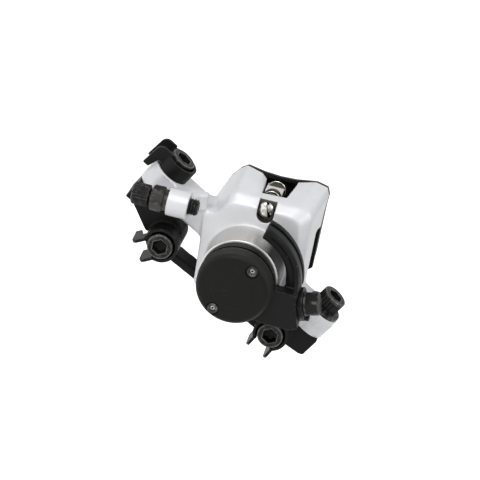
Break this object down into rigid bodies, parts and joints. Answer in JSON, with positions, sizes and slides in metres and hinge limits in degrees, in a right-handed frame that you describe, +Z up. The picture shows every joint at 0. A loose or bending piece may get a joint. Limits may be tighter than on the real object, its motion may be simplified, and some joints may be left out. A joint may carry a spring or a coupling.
{
  "type": "bicycle disc brake caliper",
  "caption": "Cable-pulled disc brake caliper: an arm turns a ball-ramp cam that presses two pads together, on an adapter that two bolts fix to a frame.",
  "frame": {"origin": "centre of the two bracket bolts, on the adapter's inboard face", "axes": "+X along the row of the two post bolts, away from the barrel adjuster; +Y inboard, along the wheel's axle; +Z up the post bolts"},
  "size_m": [0.0915, 0.0616, 0.0602],
  "materials": {
    "silver_casting": "satin silver paint",
    "black_casting": "satin black",
    "black_arm": "satin black",
    "black_cap": "fine matt",
    "black_steel": "blackened",
    "clip_black": "satin black",
    "bright_steel": "bright",
    "spring_steel": "satin",
    "plate_steel": "oiled",
    "nut_steel": "browned",
    "ball_steel": "polished",
    "bronze": "sintered",
    "lining": "rough",
    "seal_rubber": "matt"
  },
  "bodies": {
    "caliper": {"adapter": "black_casting", "caliper_body": "silver_casting", "inboard_body": "black_casting", "body_screws": "black_steel", "post_bolt_left": "black_steel", "post_bolt_right": "black_steel", "post_washer": "black_steel", "bracket_bolts": "black_steel", "post_bolt_clip": "clip_black", "bracket_bolt_clip_left": "clip_black", "bracket_bolt_clip_right": "clip_black", "pad_pin": "bright_steel", "pad_pin_ring": "spring_steel", "pad_spring": "spring_steel", "piston_guide_pins": "ball_steel", "shaft_bush": "bronze", "thrust_washer": "bronze", "hub_dust_seal": "seal_rubber", "return_spring": "spring_steel", "dial_retaining_ring": "spring_steel"},
    "arm": {"actuating_arm": "black_arm", "arm_shaft": "bright_steel", "arm_washer": "bright_steel", "arm_nut": "bright_steel", "arm_cap": "black_cap", "arm_cap_screws": "black_steel", "cable_clamp_plate": "black_steel", "cable_clamp_bolt": "black_steel"},
    "ball_set": {"ramp_balls": "ball_steel", "ball_cage": "bronze"},
    "outboard_pad": {"piston": "bright_steel", "piston_seal": "seal_rubber", "outboard_pad_plate": "plate_steel", "outboard_pad_lining": "lining"},
    "inboard_pad": {"pusher_foot": "bright_steel", "inboard_pad_plate": "plate_steel", "inboard_pad_lining": "lining"},
    "pad_dial": {"adjuster_dial": "black_steel"},
    "barrel": {"barrel_adjuster": "black_steel"},
    "lock_nut": {"barrel_lock_nut": "nut_steel"}
  },
  "joints": [
    {"name": "arm_turn", "type": "hinge", "parent": "caliper", "child": "arm", "pos_m": [0.00105, -0.027, 0.0136], "axis": [0, -1, 0], "range_deg": [0, 36], "stiffness_Nm_per_rad": 0.08, "springref_deg": -34.38, "deforming": ["return_spring"]},
    {"name": "ball_set_turn", "type": "hinge", "parent": "caliper", "child": "ball_set", "pos_m": [0.00105, -0.0086, 0.0136], "axis": [0, -1, 0], "range_deg": [0, 18]},
    {"name": "piston_slide", "type": "slide", "parent": "caliper", "child": "outboard_pad", "axis": [0, 1, 0], "range_m": [0, 0.0015], "deforming": ["pad_spring"]},
    {"name": "dial_turn", "type": "hinge", "parent": "caliper", "child": "pad_dial", "pos_m": [0.00105, 0.019, 0.0136], "axis": [0, -1, 0], "range_deg": [-180, 324]},
    {"name": "inboard_pad_slide", "type": "slide", "parent": "caliper", "child": "inboard_pad", "axis": [0, -1, 0], "range_m": [-0.0005, 0.0009], "deforming": ["pad_spring"]},
    {"name": "barrel_turn", "type": "hinge", "parent": "caliper", "child": "barrel", "pos_m": [-0.04278, -0.022, 0.01083], "axis": [-0.8572, 0, -0.515], "continuous": true},
    {"name": "lock_nut_turn", "type": "hinge", "parent": "caliper", "child": "lock_nut", "pos_m": [-0.03764, -0.022, 0.01392], "axis": [-0.8572, 0, -0.515], "continuous": true}
  ],
  "couplings": [
    {"joint": "ball_set_turn", "follows": "arm_turn", "ratio": 0.5},
    {"joint": "piston_slide", "follows": "arm_turn", "m_per_rad": 0.0023873},
    {"joint": "inboard_pad_slide", "follows": "dial_turn", "m_per_rad": 0.00015915}
  ]
}
